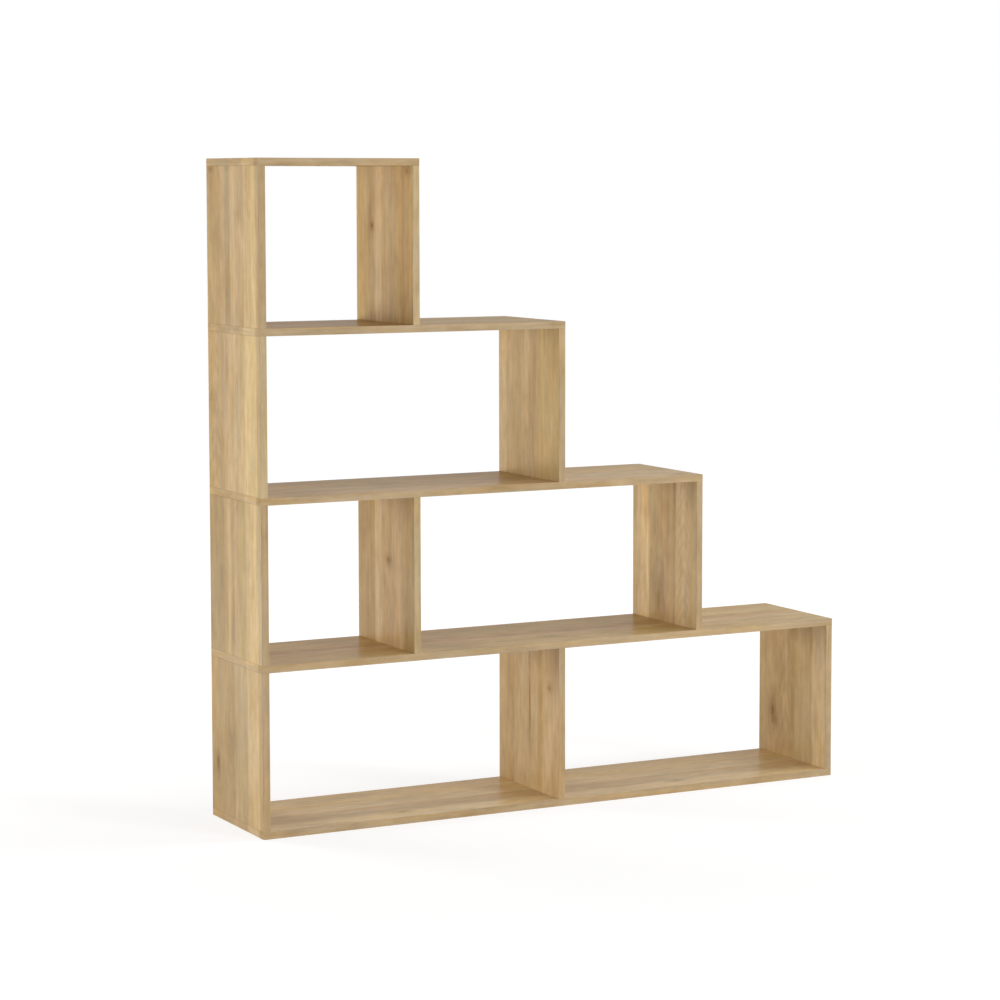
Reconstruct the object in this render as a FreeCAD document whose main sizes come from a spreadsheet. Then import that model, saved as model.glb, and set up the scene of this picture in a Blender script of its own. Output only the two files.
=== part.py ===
# Staircase bookshelf in melamine-faced board, in millimetres.
# Five level boards run through to the outer faces, and ten equal uprights stand between them.
# The left ends line up, and each tier is one bay step shorter at its right end than the tier below it.
# There is no back panel, so every bay is open at the front and at the back.
# Frame: origin at the middle of the footprint on the floor, +Z up, front towards -Y, tall end at -X.

import FreeCAD
import Part
import Sketcher
import os

# Driving dimensions, which fill the sheet
SIZES = {
    # Boards
    "board_thickness": 16.0,
    "shelf_depth": 290.0,
    "bay_width": 342.5,
    "bay_height": 342.5,
    # Edging strips glued to the cut edges of the boards
    "edging_thickness": 1.0,
    "edging_radius": 0.5,
    # Wooden dowels: reach into an upright, and the board left behind a blind bore in a shelf
    "dowel_diameter": 8.0,
    "dowel_reach": 20.0,
    "dowel_floor": 5.5,
    "dowel_chamfer": 0.8,
    "dowel_clearance": 0.1,
    "dowel_end_gap": 0.5,
    "dowel_inset": 82.0,
    # Cams: setback from the upright's end, and reach past the bolt's axis
    "cam_diameter": 15.0,
    "cam_setback": 34.0,
    "cam_past_axis": 4.5,
    "cam_clearance": 0.15,
    "cam_inset": 50.0,
    "cross_width": 2.0,
    "cross_length": 9.0,
    "cross_depth": 2.5,
    # Cover caps, flush in the mouths of the cam housings
    "cap_thickness": 1.2,
    "cap_chamfer": 0.3,
    # Cam bolts
    "bolt_diameter": 7.0,
    "bolt_neck_diameter": 4.5,
    "bolt_neck_margin": 0.5,
    "bolt_head_height": 4.0,
    "bolt_clearance": 0.5,
    "bolt_floor": 5.0,
    "bolt_thread_diameter": 6.0,
    "bolt_thread_depth": 0.7,
    "bolt_thread_pitch": 2.0,
    "bolt_thread_clearance": 0.1,
}

# Layout: grid lines, counted in bay steps from the left end, where the uprights of each tier stand
TIER_LINES = ((0, 2, 4), (0, 1, 3), (0, 2), (0, 1))
LEVEL_NAMES = ("bottom_panel", "first_shelf", "second_shelf", "third_shelf", "top_panel")
LAST_LINE = max(max(lines) for lines in TIER_LINES)
LAST_LEVEL = len(TIER_LINES)

# Lengths worked out from the sheet, as expressions
BOARD = "Sizes.board_thickness"
DEPTH = "Sizes.shelf_depth"
BAY_HEIGHT = "Sizes.bay_height"
BAND = "Sizes.edging_thickness"
STEP_ACROSS = f"(Sizes.bay_width + {BOARD})"
STEP_UP = f"({BAY_HEIGHT} + {BOARD})"
LEFT = f"(-({LAST_LINE} * {STEP_ACROSS} + {BOARD}) / 2)"
FRONT = f"(-{DEPTH} / 2)"

CAM_ROWS = ("Sizes.cam_inset", f"({DEPTH} - Sizes.cam_inset)")
CAM_HEIGHTS = ("Sizes.cam_setback", f"({BAY_HEIGHT} - Sizes.cam_setback)")
HOUSING_BORE = "(Sizes.cam_diameter + 2 * Sizes.cam_clearance)"
HOUSING_DEPTH = f"({BOARD} / 2 + Sizes.cam_past_axis)"
CAM_LENGTH = f"({HOUSING_DEPTH} - Sizes.cap_thickness)"

BOLT_BORE = "(Sizes.bolt_diameter + 2 * Sizes.bolt_clearance)"
THREAD_BORE = "(Sizes.bolt_thread_diameter + 2 * Sizes.bolt_thread_clearance)"
THREAD_LENGTH = f"({BOARD} - Sizes.bolt_floor)"
THREAD_ROOT = "(Sizes.bolt_thread_diameter / 2 - Sizes.bolt_thread_depth)"
NECK_SPAN = "(Sizes.cam_diameter / 2 + Sizes.bolt_neck_margin)"

DOWEL_ROWS = ("Sizes.dowel_inset", f"({DEPTH} - Sizes.dowel_inset)")
DOWEL_BORE = "(Sizes.dowel_diameter + 2 * Sizes.dowel_clearance)"
BLIND_DEPTH = f"({BOARD} - Sizes.dowel_floor)"
DOWEL_LENGTH = f"(Sizes.dowel_reach + {BLIND_DEPTH} - Sizes.dowel_end_gap)"
LONG_DOWEL_LENGTH = f"({BOARD} + 2 * Sizes.dowel_reach)"
END_BORE_DEPTH = "(Sizes.dowel_reach + Sizes.dowel_end_gap)"

UPSIDE_DOWN = FreeCAD.Rotation(FreeCAD.Vector(1, 0, 0), 180)
AS_DRAWN = FreeCAD.Rotation()
FACING_RIGHT = FreeCAD.Rotation(FreeCAD.Vector(0, 1, 0), 90)

doc = FreeCAD.newDocument("StaircaseBookshelf")
nodes = []
strips = []


def fill_sheet():
    sheet = doc.addObject("Spreadsheet::Sheet", "Sizes")
    for row, (alias, value) in enumerate(SIZES.items(), start=1):
        sheet.set(f"A{row}", alias.replace("_", " "))
        sheet.set(f"B{row}", str(value))
        sheet.setAlias(f"B{row}", alias)
    doc.recompute()


def value_of(expression):
    """The number an expression gives with the sheet as it stands."""
    return float(doc.Sizes.evalExpression(expression))


# Sketches, whose points are expressions

def new_sketch(body, name, plane="XY_Plane", offset=None):
    sketch = body.newObject("Sketcher::SketchObject", name)
    support = [feature for feature in body.Origin.OriginFeatures if feature.Role == plane]
    sketch.AttachmentSupport = [(support[0], "")]
    sketch.MapMode = "FlatFace"
    if offset:
        sketch.setExpression("AttachmentOffset.Base.z", offset)
    return sketch


def bind(sketch, kind, places, name, expression):
    """Add one dimension and tie it to an expression."""
    index = sketch.addConstraint(Sketcher.Constraint(kind, *places, value_of(expression)))
    sketch.renameConstraint(index, name)
    sketch.setExpression(f"Constraints.{name}", expression)


def pin_point(sketch, line, end, point, name):
    """Hold one end of a line, or a circle's centre, at a point given as two expressions."""
    across, up = point
    if across == "0":
        sketch.addConstraint(Sketcher.Constraint("PointOnObject", line, end, -2))
    else:
        bind(sketch, "DistanceX", (-1, 1, line, end), f"{name}_across", across)
    if up == "0":
        sketch.addConstraint(Sketcher.Constraint("PointOnObject", line, end, -1))
    else:
        bind(sketch, "DistanceY", (-1, 1, line, end), f"{name}_up", up)


def draw_closed_line(sketch, corners):
    lines = []
    for start, end in zip(corners, corners[1:] + corners[:1]):
        lines.append(sketch.addGeometry(Part.LineSegment(start, end), False))
    for line, following in zip(lines, lines[1:] + lines[:1]):
        sketch.addConstraint(Sketcher.Constraint("Coincident", line, 2, following, 1))
    return lines


def draw_polygon(sketch, points):
    corners = [FreeCAD.Vector(value_of(across), value_of(up), 0) for across, up in points]
    lines = draw_closed_line(sketch, corners)
    for number, (line, point) in enumerate(zip(lines, points)):
        pin_point(sketch, line, 1, point, f"corner_{number}")


def draw_rectangle(sketch, low, high):
    draw_polygon(sketch, [low, (high[0], low[1]), high, (low[0], high[1])])


def draw_centred_rectangle(sketch, width, height):
    right = value_of(width) / 2
    top = value_of(height) / 2
    shares = ((-1, -1), (1, -1), (1, 1), (-1, 1))
    corners = [FreeCAD.Vector(across * right, up * top, 0) for across, up in shares]
    lines = draw_closed_line(sketch, corners)
    for line, direction in zip(lines, ("Horizontal", "Vertical", "Horizontal", "Vertical")):
        sketch.addConstraint(Sketcher.Constraint(direction, line))
    sketch.addConstraint(Sketcher.Constraint("Symmetric", lines[0], 1, lines[2], 1, -1, 1))
    bind(sketch, "DistanceX", (lines[0], 1, lines[0], 2), "width", width)
    bind(sketch, "DistanceY", (lines[1], 1, lines[1], 2), "height", height)


def draw_circles(sketch, centres, diameter):
    for number, centre in enumerate(centres):
        middle = FreeCAD.Vector(value_of(centre[0]), value_of(centre[1]), 0)
        circle = Part.Circle(middle, FreeCAD.Vector(0, 0, 1), value_of(diameter) / 2)
        index = sketch.addGeometry(circle, False)
        pin_point(sketch, index, 3, centre, f"centre_{number}")
        bind(sketch, "Diameter", (index,), f"diameter_{number}", diameter)


# Features

def new_body(label):
    return doc.addObject("PartDesign::Body", label)


def pad(body, sketch, length):
    feature = body.newObject("PartDesign::Pad", f"{sketch.Name}_pad")
    feature.Profile = sketch
    feature.setExpression("Length", length)
    return feature


def pocket(body, sketch, depth=None, along_normal=False, both_ways=False):
    """Cut a sketch into the solid behind it, or right through where no depth is given."""
    feature = body.newObject("PartDesign::Pocket", f"{sketch.Name}_pocket")
    feature.Profile = sketch
    if depth:
        feature.setExpression("Length", depth)
    else:
        feature.Type = "ThroughAll"
    feature.Reversed = along_normal
    feature.Midplane = both_ways


def bore(body, name, centres, diameter, depth=None, at=None, upwards=False):
    """Drill round holes along Z, from the height given by the expression at."""
    sketch = new_sketch(body, f"{body.Name}_{name}", offset=at)
    draw_circles(sketch, centres, diameter)
    pocket(body, sketch, depth, along_normal=upwards)


def turned_body(label, points):
    """A body turned about its own Z axis, from half an outline of radius and height."""
    body = new_body(label)
    sketch = new_sketch(body, f"{label}_outline", "XZ_Plane")
    draw_polygon(sketch, points)
    turn = body.newObject("PartDesign::Revolution", f"{label}_turn")
    turn.Profile = sketch
    turn.ReferenceAxis = (sketch, ["V_Axis"])
    return body


def group(label, links):
    """One node made of several separate solids."""
    compound = doc.addObject("Part::Compound", label)
    compound.Links = links
    nodes.append(compound)


def place(thing, spot):
    for axis, expression in zip("xyz", spot):
        thing.setExpression(f"Placement.Base.{axis}", expression)


def copy_at(original, label, number, spot, rotation):
    link = doc.addObject("App::Link", f"{label}_{number}")
    link.LinkedObject = original
    link.Placement = FreeCAD.Placement(FreeCAD.Vector(), rotation)
    place(link, spot)
    return link


def copies(original, label, spots):
    """A node of equal pieces, one for each pair of place and rotation."""
    group(label, [copy_at(original, label, number, *spot) for number, spot in enumerate(spots, start=1)])


# Layout of boards and joints

def lines_below(level):
    return TIER_LINES[level - 1] if level > 0 else ()


def lines_above(level):
    return TIER_LINES[level] if level < LAST_LEVEL else ()


def stacked_lines(level):
    """Lines where an upright stands on the shelf right above the one that carries the shelf."""
    return [line for line in lines_below(level) if line in lines_above(level)]


def single_below(level):
    return [line for line in lines_below(level) if line not in lines_above(level)]


def single_above(level):
    return [line for line in lines_above(level) if line not in lines_below(level)]


def shelf_length(level):
    """A shelf covers the tier below it, and the bottom panel carries the lowest tier."""
    last = max(lines_below(level) or lines_above(level))
    return f"({last} * {STEP_ACROSS} + {BOARD})"


def level_base(level):
    return f"({level} * {STEP_UP})"


def level_top(level):
    return f"({level} * {STEP_UP} + {BOARD})"


def line_middle(line):
    """Middle of the upright on a line, from the left end."""
    return f"({line} * {STEP_ACROSS} + {BOARD} / 2)"


def on_lines(lines, rows):
    return [(line_middle(line), row) for line in lines for row in rows]


def in_frame(point):
    """A point measured from the front left corner, in the frame of the whole part."""
    return f"{LEFT} + {point[0]}", f"{FRONT} + {point[1]}"


def upright_name(tier, line):
    lines = TIER_LINES[tier]
    role = "divider"
    if line == lines[0]:
        role = "left_side"
    if line == lines[-1]:
        role = "right_side"
    return f"tier_{tier + 1}_{role}"


# Boards

def make_shelf(level):
    name = LEVEL_NAMES[level]
    length = shelf_length(level)
    body = new_body(name)
    sketch = new_sketch(body, f"{name}_outline")
    draw_rectangle(sketch, (BAND, BAND), (f"{length} - {BAND}", f"{DEPTH} - {BAND}"))
    pad(body, sketch, BOARD)
    place(body, (LEFT, FRONT, level_base(level)))
    below = single_below(level)
    above = single_above(level)
    through = stacked_lines(level)
    if below:
        bore(body, "dowels_below", on_lines(below, DOWEL_ROWS), DOWEL_BORE, BLIND_DEPTH, upwards=True)
        bore(body, "bolts_below", on_lines(below, CAM_ROWS), THREAD_BORE, THREAD_LENGTH, upwards=True)
    if above:
        bore(body, "dowels_above", on_lines(above, DOWEL_ROWS), DOWEL_BORE, BLIND_DEPTH, at=BOARD)
        bore(body, "bolts_above", on_lines(above, CAM_ROWS), THREAD_BORE, THREAD_LENGTH, at=BOARD)
    if through:
        bore(body, "dowels_through", on_lines(through, DOWEL_ROWS), DOWEL_BORE, at=BOARD)
        bore(body, "bolts_through", on_lines(through, CAM_ROWS), BOLT_BORE, at=BOARD)
    nodes.append(body)


def make_upright(tier, line):
    name = upright_name(tier, line)
    body = new_body(name)
    sketch = new_sketch(body, f"{name}_outline")
    draw_rectangle(sketch, ("0", BAND), (BOARD, f"{DEPTH} - {BAND}"))
    pad(body, sketch, BAY_HEIGHT)
    place(body, (f"{LEFT} + {line} * {STEP_ACROSS}", FRONT, level_top(tier)))
    middle = f"{BOARD} / 2"
    dowel_spots = [(middle, row) for row in DOWEL_ROWS]
    bolt_spots = [(middle, row) for row in CAM_ROWS]
    bore(body, "foot_dowels", dowel_spots, DOWEL_BORE, END_BORE_DEPTH, upwards=True)
    bore(body, "head_dowels", dowel_spots, DOWEL_BORE, END_BORE_DEPTH, at=BAY_HEIGHT)
    bore(body, "foot_bolts", bolt_spots, BOLT_BORE, "Sizes.cam_setback", upwards=True)
    bore(body, "head_bolts", bolt_spots, BOLT_BORE, "Sizes.cam_setback", at=BAY_HEIGHT)
    housings = new_sketch(body, f"{name}_housings", "YZ_Plane", offset=BOARD)
    draw_circles(housings, [(row, height) for row in CAM_ROWS for height in CAM_HEIGHTS], HOUSING_BORE)
    pocket(body, housings, HOUSING_DEPTH)
    nodes.append(body)


# Edging strips

def make_strip(label, size, spot, outer_side, run):
    """A strip of edging, square until ease_strips rounds its two long outer edges.

    outer_side is an axis and the end of it, 0 or 1, that faces out. run is the axis of the long edges."""
    body = new_body(label)
    sketch = new_sketch(body, f"{label}_outline")
    draw_rectangle(sketch, ("0", "0"), (size[0], size[1]))
    pad(body, sketch, size[2])
    place(body, spot)
    axis, end = outer_side
    strips.append((body, axis, f"{end} * {size[axis]}", run))
    return body


def ease_strips():
    doc.recompute()
    for body, axis, limit, run in strips:
        square = body.Tip
        edges = long_outer_edges(square.Shape, axis, value_of(limit), run)
        easing = body.newObject("PartDesign::Fillet", f"{body.Name}_easing")
        easing.Base = (square, edges)
        easing.setExpression("Radius", "Sizes.edging_radius")


def long_outer_edges(shape, axis, limit, run):
    """Names of the edges that run along one axis in the outer face, which stands at limit on another."""
    names = []
    for number, edge in enumerate(shape.Edges, start=1):
        start, end = (vertex.Point for vertex in edge.Vertexes)
        in_face = max(abs(start[axis] - limit), abs(end[axis] - limit)) < edge.Tolerance
        if in_face and abs(end[run] - start[run]) > edge.Tolerance:
            names.append(f"Edge{number}")
    return names


def make_shelf_edging(level):
    """The long strips cover the ends of the short ones."""
    name = LEVEL_NAMES[level]
    base = level_base(level)
    length = shelf_length(level)
    back = f"-{FRONT} - {BAND}"
    right = f"{LEFT} + {length} - {BAND}"
    inner_front = f"{FRONT} + {BAND}"
    long_size = (length, BAND, BOARD)
    end_size = (BAND, f"({DEPTH} - 2 * {BAND})", BOARD)
    group(f"{name}_edging", [
        make_strip(f"{name}_front_strip", long_size, (LEFT, FRONT, base), (1, 0), 0),
        make_strip(f"{name}_back_strip", long_size, (LEFT, back, base), (1, 1), 0),
        make_strip(f"{name}_left_strip", end_size, (LEFT, inner_front, base), (0, 0), 1),
        make_strip(f"{name}_right_strip", end_size, (right, inner_front, base), (0, 1), 1),
    ])


def make_upright_edging(tier, line):
    name = upright_name(tier, line)
    size = (BOARD, BAND, BAY_HEIGHT)
    left = f"{LEFT} + {line} * {STEP_ACROSS}"
    base = level_top(tier)
    group(f"{name}_edging", [
        make_strip(f"{name}_front_strip", size, (left, FRONT, base), (1, 0), 2),
        make_strip(f"{name}_back_strip", size, (left, f"-{FRONT} - {BAND}", base), (1, 1), 2),
    ])


# Fittings, each drawn once and copied to its places

def make_dowel(label, length):
    radius = "(Sizes.dowel_diameter / 2)"
    chamfer = "Sizes.dowel_chamfer"
    return turned_body(label, [
        ("0", "0"),
        (f"{radius} - {chamfer}", "0"),
        (radius, chamfer),
        (radius, f"{length} - {chamfer}"),
        (f"{radius} - {chamfer}", length),
        ("0", length),
    ])


def make_cam_bolt():
    """A bolt whose thread sits in a shelf and whose head is held by a cam in an upright."""
    shank = "Sizes.bolt_diameter / 2"
    neck = "Sizes.bolt_neck_diameter / 2"
    head_middle = f"{THREAD_LENGTH} + Sizes.cam_setback"
    head_half = "Sizes.bolt_head_height / 2"
    body = turned_body("cam_bolt", [
        ("0", "0"),
        (THREAD_ROOT, "0"),
        (THREAD_ROOT, THREAD_LENGTH),
        (shank, THREAD_LENGTH),
        (shank, f"{head_middle} - {NECK_SPAN}"),
        (neck, f"{head_middle} - {NECK_SPAN}"),
        (neck, f"{head_middle} - {head_half}"),
        (shank, f"{head_middle} - {head_half}"),
        (shank, f"{head_middle} + {head_half}"),
        ("0", f"{head_middle} + {head_half}"),
    ])
    ridge = new_sketch(body, "cam_bolt_ridge_outline", "XZ_Plane")
    inside = f"{THREAD_ROOT} - Sizes.bolt_thread_depth"
    draw_polygon(ridge, [
        (inside, "0"),
        ("Sizes.bolt_thread_diameter / 2", "Sizes.bolt_thread_pitch / 2"),
        (inside, "Sizes.bolt_thread_pitch"),
    ])
    turn = body.newObject("PartDesign::Revolution", "cam_bolt_ridge")
    turn.Profile = ridge
    turn.ReferenceAxis = (ridge, ["V_Axis"])
    pattern = body.newObject("PartDesign::LinearPattern", "cam_bolt_thread")
    pattern.Originals = [turn]
    pattern.Direction = (ridge, ["V_Axis"])
    pattern.Mode = "Spacing"
    pattern.setExpression("Offset", "Sizes.bolt_thread_pitch")
    pattern.setExpression("Occurrences", f"floor({THREAD_LENGTH} / Sizes.bolt_thread_pitch)")
    body.Tip = pattern
    return body


def make_double_bolt():
    """A bolt with a head at each end, which ties two stacked uprights together through a shelf."""
    shank = "Sizes.bolt_diameter / 2"
    neck = "Sizes.bolt_neck_diameter / 2"
    head = "Sizes.bolt_head_height"
    length = f"({BOARD} + 2 * Sizes.cam_setback + {head})"
    neck_end = f"({head} / 2 + {NECK_SPAN})"
    return turned_body("double_bolt", [
        ("0", "0"),
        (shank, "0"),
        (shank, head),
        (neck, head),
        (neck, neck_end),
        (shank, neck_end),
        (shank, f"{length} - {neck_end}"),
        (neck, f"{length} - {neck_end}"),
        (neck, f"{length} - {head}"),
        (shank, f"{length} - {head}"),
        (shank, length),
        ("0", length),
    ])


def make_cam():
    """A locked cam along X: its bolt comes from below, and its mouth has turned a quarter to the back.

    The channel from mouth to slot is the way of the bolt's neck, and the cross takes a screwdriver."""
    body = new_body("cam")
    outline = new_sketch(body, "cam_outline", "YZ_Plane")
    draw_circles(outline, [("0", "0")], "Sizes.cam_diameter")
    pad(body, outline, CAM_LENGTH)
    axis = ("Sizes.cam_past_axis", "0")
    cavity = new_sketch(body, "cam_cavity")
    draw_circles(cavity, [axis], BOLT_BORE)
    pocket(body, cavity, "Sizes.bolt_head_height + 2 * Sizes.bolt_clearance", both_ways=True)
    slot = new_sketch(body, "cam_slot")
    draw_circles(slot, [axis], "Sizes.bolt_neck_diameter + 2 * Sizes.bolt_clearance")
    pocket(body, slot, "Sizes.cam_diameter")
    mouth = new_sketch(body, "cam_mouth", "XZ_Plane")
    draw_circles(mouth, [axis], BOLT_BORE)
    pocket(body, mouth, "Sizes.cam_diameter")
    neck_half = "(Sizes.bolt_neck_diameter / 2 + Sizes.bolt_clearance)"
    channel = new_sketch(body, "cam_channel")
    draw_rectangle(
        channel,
        (f"Sizes.cam_past_axis - {neck_half}", "0"),
        (f"Sizes.cam_past_axis + {neck_half}", "Sizes.cam_diameter"),
    )
    turn = body.newObject("PartDesign::Groove", "cam_channel_groove")
    turn.Profile = channel
    turn.ReferenceAxis = (channel, ["H_Axis"])
    turn.Angle = 90
    turn.Reversed = True
    for name, width, height in (
        ("cam_cross_level", "Sizes.cross_length", "Sizes.cross_width"),
        ("cam_cross_tall", "Sizes.cross_width", "Sizes.cross_length"),
    ):
        cross = new_sketch(body, name, "YZ_Plane", offset=CAM_LENGTH)
        draw_centred_rectangle(cross, width, height)
        pocket(body, cross, "Sizes.cross_depth")
    return body


def make_cap():
    radius = "(Sizes.cam_diameter / 2)"
    thickness = "Sizes.cap_thickness"
    return turned_body("cap", [
        ("0", "0"),
        (radius, "0"),
        (radius, f"{thickness} - Sizes.cap_chamfer"),
        (f"{radius} - Sizes.cap_chamfer", thickness),
        ("0", thickness),
    ])


def fit_level(level, dowel, long_dowel, cam_bolt, double_bolt):
    """Dowels and bolts between one level board and the uprights above and below it."""
    name = LEVEL_NAMES[level]
    base = level_base(level)
    top = level_top(level)
    blind_end = f"{BLIND_DEPTH} - Sizes.dowel_end_gap"
    dowels = []
    bolts = []
    for spot in on_lines(single_above(level), DOWEL_ROWS):
        dowels.append(((*in_frame(spot), f"{top} - ({blind_end})"), AS_DRAWN))
    for spot in on_lines(single_below(level), DOWEL_ROWS):
        dowels.append(((*in_frame(spot), f"{base} + {blind_end}"), UPSIDE_DOWN))
    for spot in on_lines(single_above(level), CAM_ROWS):
        bolts.append(((*in_frame(spot), f"{top} - {THREAD_LENGTH}"), AS_DRAWN))
    for spot in on_lines(single_below(level), CAM_ROWS):
        bolts.append(((*in_frame(spot), f"{base} + {THREAD_LENGTH}"), UPSIDE_DOWN))
    copies(dowel, f"{name}_dowels", dowels)
    copies(cam_bolt, f"{name}_cam_bolts", bolts)
    stacked = stacked_lines(level)
    if stacked:
        foot = f"{base} - Sizes.dowel_reach"
        copies(long_dowel, f"{name}_long_dowels", [
            ((*in_frame(spot), foot), AS_DRAWN) for spot in on_lines(stacked, DOWEL_ROWS)
        ])
        foot = f"{base} - Sizes.cam_setback - Sizes.bolt_head_height / 2"
        copies(double_bolt, f"{name}_double_bolts", [
            ((*in_frame(spot), foot), AS_DRAWN) for spot in on_lines(stacked, CAM_ROWS)
        ])


def fit_tier(tier, cam, cap):
    """Cams and their caps in the right-hand faces of one tier's uprights."""
    cams = []
    caps = []
    floor = level_top(tier)
    for line in TIER_LINES[tier]:
        face = f"{LEFT} + {line} * {STEP_ACROSS} + {BOARD}"
        for row in CAM_ROWS:
            for height, turn in zip(CAM_HEIGHTS, (AS_DRAWN, UPSIDE_DOWN)):
                spot = (f"{FRONT} + {row}", f"{floor} + {height}")
                cams.append(((f"{face} - {HOUSING_DEPTH}", *spot), turn))
                caps.append(((f"{face} - Sizes.cap_thickness", *spot), FACING_RIGHT))
    copies(cam, f"tier_{tier + 1}_cams", cams)
    copies(cap, f"tier_{tier + 1}_cam_caps", caps)


# Checks before anything is written

def check_cuts():
    """Every pocket and groove has to take something away."""
    for feature in doc.findObjects("PartDesign::Pocket") + doc.findObjects("PartDesign::Groove"):
        if feature.BaseFeature.Shape.Volume <= feature.Shape.Volume:
            raise RuntimeError(f"{feature.Name} cuts nothing")


def check_document():
    for thing in doc.Objects:
        if "Invalid" in thing.State or "Error" in thing.State:
            raise RuntimeError(f"{thing.Name} failed: {thing.State}")
    for node in nodes:
        if node.Shape.isNull() or not node.Shape.isValid():
            raise RuntimeError(f"{node.Label} has no valid shape")


def main():
    fill_sheet()
    for level in range(LAST_LEVEL + 1):
        make_shelf(level)
        make_shelf_edging(level)
    for tier, lines in enumerate(TIER_LINES):
        for line in lines:
            make_upright(tier, line)
            make_upright_edging(tier, line)
    ease_strips()
    dowel = make_dowel("dowel", DOWEL_LENGTH)
    long_dowel = make_dowel("long_dowel", LONG_DOWEL_LENGTH)
    cam_bolt = make_cam_bolt()
    double_bolt = make_double_bolt()
    for level in range(LAST_LEVEL + 1):
        fit_level(level, dowel, long_dowel, cam_bolt, double_bolt)
    cam = make_cam()
    cap = make_cap()
    for tier in range(LAST_LEVEL):
        fit_tier(tier, cam, cap)
    doc.recompute()
    check_cuts()
    check_document()
    os.makedirs("parts", exist_ok=True)
    for node in nodes:
        node.Shape.exportStep(f"parts/{node.Label}.step")
        print(node.Label, len(node.Shape.Solids), round(node.Shape.Volume))


main()
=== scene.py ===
import math
from collections import namedtuple

import bmesh
import bpy
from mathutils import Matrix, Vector


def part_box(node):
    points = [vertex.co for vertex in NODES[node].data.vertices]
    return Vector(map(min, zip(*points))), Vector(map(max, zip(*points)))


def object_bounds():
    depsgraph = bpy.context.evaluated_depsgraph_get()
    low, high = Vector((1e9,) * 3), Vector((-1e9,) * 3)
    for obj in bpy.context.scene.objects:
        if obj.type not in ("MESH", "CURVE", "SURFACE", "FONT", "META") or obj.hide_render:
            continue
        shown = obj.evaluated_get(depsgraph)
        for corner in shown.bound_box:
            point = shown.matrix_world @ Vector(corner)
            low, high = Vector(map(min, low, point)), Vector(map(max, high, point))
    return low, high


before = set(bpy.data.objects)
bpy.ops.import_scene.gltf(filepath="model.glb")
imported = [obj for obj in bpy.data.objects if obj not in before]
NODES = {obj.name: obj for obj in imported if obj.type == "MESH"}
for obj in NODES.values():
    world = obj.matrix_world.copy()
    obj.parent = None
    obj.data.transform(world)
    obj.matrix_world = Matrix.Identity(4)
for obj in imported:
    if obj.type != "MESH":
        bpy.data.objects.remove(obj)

# The finish of a staircase bookshelf in pale oak print, with its studio and camera.
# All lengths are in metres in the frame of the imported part: +Z up, front at -Y, tall end at -X.
# A table that is in millimetres says so, and is turned into metres where it is used.

CAD_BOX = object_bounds()
MM = 0.001
UPRIGHTS = tuple(
    name for name in NODES if name.startswith("tier_") and name.endswith(("_side", "_divider"))
)
BACK_Y = CAD_BOX[1].y
DEPTH = CAD_BOX[1].y - CAD_BOX[0].y

# Tones of the print, as display colours. In the studio's light they show about as they are written.
TONES = {
    "butter": (227, 197, 141),
    "linen": (221, 194, 147),
    "cream": (218, 187, 136),
    "oat": (209, 179, 132),
    "wheat": (206, 179, 135),
    "sand": (202, 170, 125),
    "corn": (199, 170, 117),
    "honey": (195, 162, 111),
    "flax": (196, 168, 124),
    "fawn": (192, 162, 117),
    "straw": (196, 164, 109),
    "grey": (189, 162, 119),
    "hazel": (188, 161, 116),
    "umber": (185, 155, 109),
    "amber": (187, 153, 101),
    "olive": (184, 155, 107),
    "walnut": (178, 149, 101),
    "toast": (172, 142, 92),
}
# Two tones that drift into each other along an edging strip, and those of the boards with paler strips
EDGE_TONES = ((178, 153, 115), (188, 162, 125))
PALE_EDGE_TONES = ((186, 163, 122), (197, 173, 133))
PALE_EDGED = ("tier_4_right_side", "tier_3_left_side", "tier_2_divider")

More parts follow.
